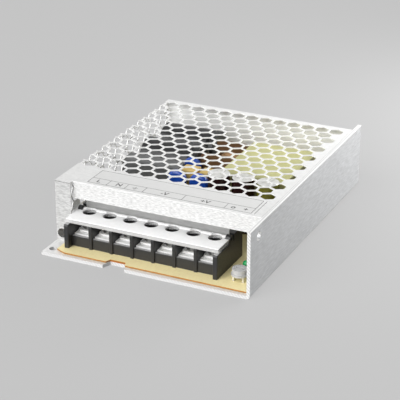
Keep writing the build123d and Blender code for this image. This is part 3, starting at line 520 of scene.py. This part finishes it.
class SUPPLY_OT_terminals(bpy.types.Operator):
    """Finish the terminal block, its contacts, clamps, screws, guard and marker strip"""

    bl_idname = "supply.terminals"
    bl_label = "Terminals"

    def execute(self, context):
        look = context.scene.supply.terminal
        # Moulded polyester: black with a satin skin, and a painted highlight on its narrow upper edges near
        # the front
        material, tree, shader = new_finish("Moulded polyester", look.moulding, roughness=0.4)
        skin = grain(tree, (0.5, 0.5, 0.5))
        black = add_node(
            tree, "ShaderNodeMix", {"Factor": skin, **shades(look.moulding, low=0.88, high=1.12)},
            data_type="RGBA",
        )
        place, facing = place_on(tree), facing_of(tree)
        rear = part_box("terminal_block")[0].y + look.highlight_painted
        near = add_node(tree, "ShaderNodeMath", {0: place["Y"], 1: rear}, operation="LESS_THAN")
        upward = add_node(tree, "ShaderNodeMath", {0: facing["Z"], 1: SQUARE_ON}, operation="GREATER_THAN")
        highlight_painted = add_node(tree, "ShaderNodeMath", {0: near, 1: upward}, operation="MULTIPLY")
        # Painted highlight on the upward faces near the front
        tone = add_node(
            tree, "ShaderNodeMix", {"Factor": highlight_painted, "A": black, "B": (*look.front_painted_light, 1)}, data_type="RGBA"
        )
        matt = add_node(tree, "ShaderNodeMapRange", {"Value": skin, "To Min": 0.32, "To Max": 0.48})
        relief = add_node(
            tree, "ShaderNodeBump", {"Height": skin, "Strength": 0.4, "Distance": 0.01 * MM}
        )
        set_inputs(tree, shader, {"Base Color": tone, "Roughness": matt, "Normal": relief})
        dress(material, "terminal_block")

        # Tin plate: nearly white and soft, with faint patches from dipping
        material = grained(
            "Tin plate", look.tin, roughness=0.42, metallic=0.05, size_mm=(1.4, 2.0, 1.4),
            tint=0.04, gloss=0.08, relief_mm=0.01,
        )
        dress(material, "terminal_contacts", *numbered("terminal_clamp_"))

        # Zinc plate: grey, with the fine uneven lustre of a used screw head, its grey darkened as painted
        # shade under the guard
        material = grained(
            "Zinc-plated screw", look.screw, roughness=0.34, metallic=1.0, size_mm=(0.6, 0.6, 0.6),
            tint=0.12, gloss=0.08, relief_mm=0.01,
        )
        dress(material, *numbered("terminal_screw_"))

        # Polycarbonate: clear but scattered by a fine moulded texture, so that its top looks milky
        material = grained(
            "Clear polycarbonate", look.guard, roughness=0.18, size_mm=(2.0, 2.0, 2.0),
            tint=0.03, gloss=0.06, relief_mm=0.02, IOR=1.58,
        )
        tree = material.node_tree
        place = place_on(tree)
        low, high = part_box("terminal_guard")
        skin = high.z - look.haze_depth
        upper = add_node(tree, "ShaderNodeMath", {0: place["Z"], 1: skin}, operation="GREATER_THAN")
        haze = add_node(tree, "ShaderNodeMapRange", {"Value": upper, "To Min": 0.24, "To Max": 0.96})
        edge = low.y + look.front_edge
        near = add_node(tree, "ShaderNodeMath", {0: place["Y"], 1: edge}, operation="LESS_THAN")
        rim = add_node(tree, "ShaderNodeMath", {0: near, 1: FRONT_RIM_COVER}, operation="MULTIPLY")
        cover = add_node(tree, "ShaderNodeMath", {0: haze, 1: rim}, operation="MAXIMUM")
        set_inputs(tree, tree.nodes["Principled BSDF"], {"Alpha": cover})
        dress(material, "terminal_guard")

        # Polystyrene: grey with a dull moulded skin, its grey toned as painted shade where the cover's lip
        # shades the guard
        material = grained(
            "Grey polystyrene", look.marker, roughness=0.5, size_mm=(3.0, 0.5, 1.0),
            tint=0.08, gloss=0.08, relief_mm=0.01,
        )
        dress(material, "marker_strip")
        return {"FINISHED"}


class SUPPLY_OT_board(bpy.types.Operator):
    """Finish the board, the film under it, the trimmer and the indicator"""

    bl_idname = "supply.board"
    bl_label = "Board"

    def execute(self, context):
        look = context.scene.supply.board
        # Phenolic paper laminate: tan faces with crossing fibres, and a brown cut edge that is painted
        # shade
        material, tree, shader = new_finish("Phenolic paper laminate", look.laminate, roughness=0.5)
        lengthways = grain(tree, (0.5, 4.0, 0.5), detail=3.0)
        crossways = grain(tree, (4.0, 0.5, 0.5), detail=3.0)
        weave = add_node(tree, "ShaderNodeMath", {0: lengthways, 1: crossways}, operation="MULTIPLY")
        face = add_node(
            tree, "ShaderNodeMix", {"Factor": weave, **shades(look.laminate, low=1.06, high=0.9)},
            data_type="RGBA",
        )
        upright = add_node(tree, "ShaderNodeMath", {0: facing_of(tree)["Z"]}, operation="ABSOLUTE")
        is_edge = add_node(tree, "ShaderNodeMath", {0: upright, 1: CUT_EDGE_TILT}, operation="LESS_THAN")
        # The cut edge takes the painted shade
        tone = add_node(
            tree, "ShaderNodeMix", {"Factor": is_edge, "A": face, "B": (*look.edge_painted_shade, 1)},
            data_type="RGBA",
        )
        matt = add_node(tree, "ShaderNodeMapRange", {"Value": weave, "To Min": 0.42, "To Max": 0.58})
        relief = add_node(
            tree, "ShaderNodeBump", {"Height": weave, "Strength": 0.2, "Distance": 0.02 * MM}
        )
        set_inputs(tree, shader, {"Base Color": tone, "Roughness": matt, "Normal": relief})
        dress(material, "circuit_board")

        # Polyester film: thin, brown and glossy, with slight waves; its dark brown is partly painted shade
        # in the gap under the board
        material = grained(
            "Polyester film", look.film, roughness=0.3, size_mm=(6.0, 6.0, 6.0),
            tint=0.08, gloss=0.08, relief_mm=0.02,
        )
        dress(material, "insulation_film")

        # Moulded nylon: a pale grey satin cup and rotor, the cup on bright tinned legs
        legs = Skin(look.legs, metallic=0.7, roughness=0.3)
        cup = Skin(look.trimmer, metallic=0.0, roughness=0.4)
        top = box_mm("trimmer_base")[1].z
        dress(split_finish("Moulded nylon", "Z", top, TRIMMER_CUP, cup, legs), "trimmer_base")
        material = grained(
            "Moulded nylon rotor", look.trimmer, roughness=0.4, size_mm=(0.6, 0.6, 0.6),
            tint=0.06, gloss=0.08, relief_mm=0.01,
        )
        dress(material, "trimmer_rotor")

        # Dyed epoxy: a green lens with a wet gloss, on the same legs
        lens = Skin(look.lamp, metallic=0.0, roughness=0.15)
        top = box_mm("indicator_lamp")[1].z
        dress(split_finish("Dyed epoxy", "Z", top, LAMP_LENS, lens, legs), "indicator_lamp")
        return {"FINISHED"}


class SUPPLY_OT_small_parts(bpy.types.Operator):
    """Finish the fuse, the thermistor, the packages and the capacitors"""

    bl_idname = "supply.small_parts"
    bl_label = "Capacitors and small parts"

    def execute(self, context):
        look = context.scene.supply.part
        fine, uneven = (0.5, 0.5, 0.5), (1.5, 1.5, 1.5)
        # Moulded epoxy: black and dull
        material = grained(
            "Moulded epoxy", look.epoxy, roughness=0.45, size_mm=fine, tint=0.15, gloss=0.08, relief_mm=0.01
        )
        dress(material, "bridge_rectifier", "control_chip", "optocoupler")

        # Dipped lacquer: thick and uneven, so its highlights wander, and the blue one has a glossy coat
        material = grained(
            "Dipped dark lacquer", look.lacquer, roughness=0.3, size_mm=uneven, tint=0.12, gloss=0.08,
            relief_mm=0.06,
        )
        dress(material, "thermistor")
        material = grained(
            "Dipped blue lacquer", look.disc, roughness=0.2, size_mm=uneven, tint=0.12, gloss=0.06,
            relief_mm=0.05, Coat_Weight=0.4,
        )
        dress(material, *numbered("disc_capacitor_"))

        # Glazed ceramic: white and glossy, between bright nickel caps
        low, high = box_mm("fuse")
        middle = (low + high) / 2
        reach = (high.x - low.x) / 2 - look.fuse_cap / MM
        tube = Skin(look.ceramic, metallic=0.0, roughness=0.15)
        cap = Skin(look.can_end, metallic=1.0, roughness=0.25)
        dress(split_finish("Glazed ceramic", "X", middle.x, reach, tube, cap), "fuse")

        # Moulded polypropylene and polyester: plain potted cases with a satin skin
        material = grained(
            "Moulded polypropylene", look.mains_case, roughness=0.4, size_mm=fine, tint=0.06, gloss=0.08,
            relief_mm=0.01,
        )
        dress(material, "mains_film_capacitor")
        material = grained(
            "Moulded yellow polyester", look.film_case, roughness=0.35, size_mm=fine, tint=0.06, gloss=0.08,
            relief_mm=0.01,
        )
        dress(material, *numbered("signal_film_capacitor_"))

        # Shrunk vinyl sleeves: glossy, with the bare aluminium of the can at its vent
        bare = Skin(look.can_end, metallic=0.85, roughness=0.3)
        skin = look.end_skin / MM
        black = Skin(look.bulk_sleeve, metallic=0.0, roughness=0.32)
        for name in numbered("bulk_capacitor_"):
            low, high = box_mm(name)
            dress(split_finish("Black shrunk vinyl", "X", high.x, high.x - low.x - skin, black, bare), name)
        olive = Skin(look.olive_sleeve, metallic=0.0, roughness=0.24)
        maroon = Skin(look.output_sleeve, metallic=0.0, roughness=0.24)
        for name in numbered("smoothing_capacitor_"):
            low, high = box_mm(name)
            kind, sleeve = ("Olive", olive) if name.endswith("_1") else ("Maroon", maroon)
            kind += " shrunk vinyl"
            dress(split_finish(kind, "Z", low.z, high.z - low.z - skin, sleeve, bare), name)
        return {"FINISHED"}


class SUPPLY_OT_magnetics(bpy.types.Operator):
    """Finish the transformer and wind the choke"""

    bl_idname = "supply.magnetics"
    bl_label = "Transformer and choke"

    def execute(self, context):
        look = context.scene.supply.part
        # Polyester tape: pale and satin, with the soft edges of its layers across it
        material = grained(
            "Polyester tape", look.tape, roughness=0.36, size_mm=(14.0, 3.0, 3.0),
            tint=0.06, gloss=0.06, relief_mm=0.04,
        )
        dress(material, "transformer_tape")

        # Sintered ferrite: dark grey and matt, with fine pits
        material = grained(
            "Sintered ferrite", look.ferrite, roughness=0.55, size_mm=(0.4, 0.4, 0.4),
            tint=0.15, gloss=0.1, relief_mm=0.03,
        )
        dress(material, "transformer_core")

        # Phenolic bobbins: brown with a satin skin
        material = grained(
            "Moulded phenolic", look.bobbin, roughness=0.45, size_mm=(0.6, 0.6, 0.6),
            tint=0.1, gloss=0.08, relief_mm=0.01,
        )
        dress(material, "choke_bobbin", "transformer_bobbin")

        # Enamelled copper: brown varnish over metal, a little uneven from turn to turn
        copper = grained(
            "Enamelled copper", look.copper, roughness=0.32, metallic=0.3, size_mm=(3.0, 0.8, 3.0),
            tint=0.15, gloss=0.08, relief_mm=0.01,
        )
        dress(copper, "transformer_winding")

        # The choke's wire lies in rings side by side, which stand for its turns
        low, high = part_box("choke_winding")
        wire = look.wire
        turns = int((high.y - low.y) / wire)
        tree = new_tree("Choke turns", [
            ("Turns", "NodeSocketInt", 1),
            ("Pitch", "NodeSocketFloat", 0.001),
            ("Wire", "NodeSocketFloat", 0.001),
            ("Radius", "NodeSocketFloat", 0.005),
            ("Start", "NodeSocketVector", (0, 0, 0)),
            ("Finish", "NodeSocketMaterial", None),
        ])
        given = add_node(tree, "NodeGroupInput").outputs
        step = add_node(tree, "ShaderNodeCombineXYZ", {"Y": given["Pitch"]})
        line = add_node(
            tree, "GeometryNodeMeshLine",
            {"Count": given["Turns"], "Start Location": given["Start"], "Offset": step},
        )
        loop = add_node(
            tree, "GeometryNodeCurvePrimitiveCircle", {"Resolution": 40, "Radius": given["Radius"]}
        )
        upright = add_node(
            tree, "GeometryNodeTransform", {"Geometry": loop, "Rotation": (math.pi / 2, 0, 0)}
        )
        half = add_node(tree, "ShaderNodeMath", {0: given["Wire"], 1: 2.0}, operation="DIVIDE")
        section = add_node(tree, "GeometryNodeCurvePrimitiveCircle", {"Resolution": 8, "Radius": half})
        swept = add_node(tree, "GeometryNodeCurveToMesh", {"Curve": upright, "Profile Curve": section})
        rings = add_node(tree, "GeometryNodeInstanceOnPoints", {"Points": line, "Instance": swept})
        plain = add_node(tree, "GeometryNodeRealizeInstances", {"Geometry": rings})
        smooth = add_node(tree, "GeometryNodeSetShadeSmooth", {"Geometry": plain})
        painted = add_node(
            tree, "GeometryNodeSetMaterial", {"Geometry": smooth, "Material": given["Finish"]}
        )
        add_node(tree, "NodeGroupOutput", {"Geometry": painted})
        middle = (low + high) / 2
        mesh = grown_mesh("choke_wire", tree, {
            "Turns": turns,
            "Pitch": wire,
            "Wire": wire,
            "Radius": (high.x - low.x - wire) / 2,
            "Start": (middle.x, middle.y - (turns - 1) * wire / 2, middle.z),
            "Finish": copper,
        })
        piece = new_piece("choke_wire", mesh, None, CASE)
        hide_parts("choke_winding")
        return {"FINISHED"}


class SUPPLY_OT_power_devices(bpy.types.Operator):
    """Finish the power devices and their pad"""

    bl_idname = "supply.power_devices"
    bl_label = "Power devices"

    def execute(self, context):
        look = context.scene.supply.part
        # Device epoxy: black moulded packages with a dull skin, on bright tinned legs
        package = Skin(look.epoxy, metallic=0.0, roughness=0.4)
        legs = Skin(context.scene.supply.board.legs, metallic=0.7, roughness=0.3)
        for name in ("power_transistor", "output_rectifier"):
            top = box_mm(name)[1].z
            dress(split_finish("Device epoxy", "Z", top, DEVICE_BODY, package, legs), name)

        # Silicone rubber: a grey pad with a dull woven skin
        material = grained(
            "Silicone rubber", look.pad, roughness=0.7, size_mm=(0.6, 0.6, 0.6),
            tint=0.08, gloss=0.08, relief_mm=0.02,
        )
        dress(material, "thermal_pad")
        return {"FINISHED"}


class SUPPLY_OT_label(bpy.types.Operator):
    """Print the panel with its cells and terminal marks on the cover"""

    bl_idname = "supply.label"
    bl_label = "Label"

    def execute(self, context):
        look = context.scene.supply.label
        ground_z = box_mm("mesh_cover")[1].z
        layer = look.layer / MM
        width = look.line / MM
        left, right = look.left / MM, look.right / MM
        front, back, row = look.front / MM, look.back / MM, look.row / MM
        # Screen-printed ground: a grey tint that dulls the sheet a little
        panel = grained(
            "Printed ground", look.panel, roughness=0.5, metallic=0.2, size_mm=(3.0, 1.2, 1.0),
            tint=0.03, gloss=0.06, relief_mm=0.005,
        )
        mesh = bars_mesh("label_ground", [((left, front, ground_z), (right, back, ground_z + layer / 2))])
        new_piece("label_ground", mesh, panel, CASE)

        # Printing ink: dark grey and dull, thinner in places
        ink = grained(
            "Printing ink", look.ink, roughness=0.55, size_mm=(0.5, 0.5, 0.5),
            tint=0.15, gloss=0.06, relief_mm=0.005,
        )
        top = ground_z + layer

        def across(y, x0, x1):
            """A printed line along X."""
            return ((x0, y - width / 2, ground_z), (x1, y + width / 2, top))

        def along(x, y0, y1):
            """A printed line along Y."""
            return ((x - width / 2, y0, ground_z), (x + width / 2, y1, top))

        bars = [across(y, left, right) for y in (front, row, back)]
        bars += [along(x, front, back) for x in (left, right, right + look.border / MM)]
        bars += [along(x, front, row) for x in (place / MM for place in look.cells)]
        new_piece("label_lines", bars_mesh("label_lines", bars), ink, CASE)

        mark_y = (front + row) / 2
        marks = {"line": "L", "neutral": "N", "minus": "-V", "plus": "+V", "lamp": "o", "more": "+"}
        for (tag, text), x in zip(marks.items(), look.marks):
            curve = bpy.data.curves.new("mark_" + tag, "FONT")
            curve.body = text
            curve.align_x = "CENTER"
            curve.align_y = "CENTER"
            curve.size = look.mark / CAPITAL_SHARE
            curve.offset = look.weight
            curve.extrude = look.layer / 2
            holder = bpy.data.objects.new("mark_" + tag, curve)
            context.scene.collection.objects.link(holder)
            graph = context.evaluated_depsgraph_get()
            mesh = bpy.data.meshes.new_from_object(holder.evaluated_get(graph))
            bpy.data.objects.remove(holder)
            middle = Vector((0, mark_y, ground_z + layer / 2)) * MM
            mesh.transform(Matrix.Translation(middle + Vector((x, 0, 0))))
            new_piece("mark_" + tag, mesh, ink, CASE)

        earth_x = look.earth / MM
        tall, gap = look.earth_height / MM, look.earth_step / MM
        earth = [along(earth_x, mark_y, mark_y + tall)]
        for step in range(EARTH_BARS):
            half = tall * (1 - step / EARTH_BARS)
            earth.append(across(mark_y - step * gap, earth_x - half, earth_x + half))
        new_piece("mark_earth", bars_mesh("mark_earth", earth), ink, CASE)
        return {"FINISHED"}


class SUPPLY_OT_stage(bpy.types.Operator):
    """Set the floor, the soft light and the camera"""

    bl_idname = "supply.stage"
    bl_label = "Stage"

    def execute(self, context):
        scene = context.scene
        look = scene.supply.stage
        mesh = bpy.data.meshes.new("Floor")
        corners = [(x * FLOOR_REACH, y * FLOOR_REACH, 0) for x, y in ((-1, -1), (1, -1), (1, 1), (-1, 1))]
        mesh.from_pydata(corners, [], [(0, 1, 2, 3)])
        floor = bpy.data.objects.new("Floor", mesh)
        scene.collection.objects.link(floor)
        # Pale floor: mostly its own even grey where it is looked at, with a soft shadow under the supply
        material, tree, shader = new_finish("Pale floor", look.floor, roughness=0.9, Specular_IOR_Level=0.1)
        share = add_node(tree, "ShaderNodeMath", {0: looked_at(tree), 1: FLOOR_GLOW}, operation="MULTIPLY")
        glow = add_node(tree, "ShaderNodeEmission", {"Color": (*look.floor, 1), "Strength": 1.0})
        both = add_node(tree, "ShaderNodeMixShader", {0: share, 1: shader, 2: glow})
        set_inputs(tree, tree.nodes["Material Output"], {"Surface": both})
        mesh.materials.append(material)

        # The room looks as pale as the floor, and lights the supply less than it looks
        world = bpy.data.worlds.new("Studio")
        world.use_nodes = True
        scene.world = world
        tree = world.node_tree
        level = add_node(
            tree, "ShaderNodeMapRange", {"Value": looked_at(tree), "To Min": 0.5, "To Max": 1.0}
        )
        set_inputs(tree, tree.nodes["Background"], {"Color": (*look.floor, 1), "Strength": level})

        def lamp(name, kind, place, strength, **settings):
            """A lamp that faces the supply and isn't seen itself."""
            light = bpy.data.lights.new(name, kind)
            light.energy = strength
            for setting, value in settings.items():
                setattr(light, setting, value)
            made = bpy.data.objects.new(name, light)
            made.location = place
            made.rotation_euler = (Vector(LAMP_AIM) - Vector(place)).to_track_quat("-Z", "Y").to_euler()
            made.visible_camera = False
            scene.collection.objects.link(made)

        # A broad light over the front, a weaker one from behind and a small softbox along the side wall
        lamp("Front light", "SUN", place=(-0.6, -1.6, 1.05), strength=3.2, angle=math.radians(60))
        lamp("Rear light", "SUN", place=(-0.5, 1.4, 1.3), strength=0.75, angle=math.radians(100))
        lamp(
            "Side softbox", "AREA", place=(0.17, 0.19, 0.1), strength=0.78, shape="RECTANGLE",
            size=0.2, size_y=0.12,
        )

        camera = bpy.data.cameras.new("Camera")
        camera.lens = look.lens
        camera.sensor_width = 36
        camera.clip_start, camera.clip_end = 0.01, 100
        turn, rise = look.azimuth, look.elevation
        right = Vector((math.cos(turn), math.sin(turn), 0))
        back = Vector((math.sin(turn) * math.cos(rise), -math.cos(turn) * math.cos(rise), math.sin(rise)))
        eye = bpy.data.objects.new("Camera", camera)
        facing = Matrix((right, back.cross(right), back)).transposed().to_4x4()
        eye.matrix_world = Matrix.Translation(look.eye) @ facing
        scene.collection.objects.link(eye)
        scene.camera = eye
        scene.view_settings.view_transform = "Standard"
        return {"FINISHED"}


OPERATORS = (
    SUPPLY_OT_metalwork,
    SUPPLY_OT_terminals,
    SUPPLY_OT_board,
    SUPPLY_OT_small_parts,
    SUPPLY_OT_magnetics,
    SUPPLY_OT_power_devices,
    SUPPLY_OT_label,
    SUPPLY_OT_stage,
)


class SUPPLY_PT_sidebar(bpy.types.Panel):
    """The steps that finish the power supply"""

    bl_idname = "SUPPLY_PT_sidebar"
    bl_label = "Power supply"
    bl_space_type = "VIEW_3D"
    bl_region_type = "UI"
    bl_category = "Supply"

    def draw(self, context):
        for operator in OPERATORS:
            self.layout.operator(operator.bl_idname)


CLASSES = (
    CaseSettings,
    TerminalSettings,
    BoardSettings,
    PartSettings,
    LabelSettings,
    StageSettings,
    SupplySettings,
    *OPERATORS,
    SUPPLY_PT_sidebar,
)


def register():
    """Adds the settings, the steps and the panel to Blender."""
    for kind in CLASSES:
        bpy.utils.register_class(kind)
    bpy.types.Scene.supply = bpy.props.PointerProperty(type=SupplySettings)


def unregister():
    """Takes them out again."""
    del bpy.types.Scene.supply
    for kind in reversed(CLASSES):
        bpy.utils.unregister_class(kind)


def main():
    """Runs the steps in order."""
    register()
    for operator in OPERATORS:
        group, name = operator.bl_idname.split(".")
        getattr(getattr(bpy.ops, group), name)()


if __name__ == "__main__":
    main()
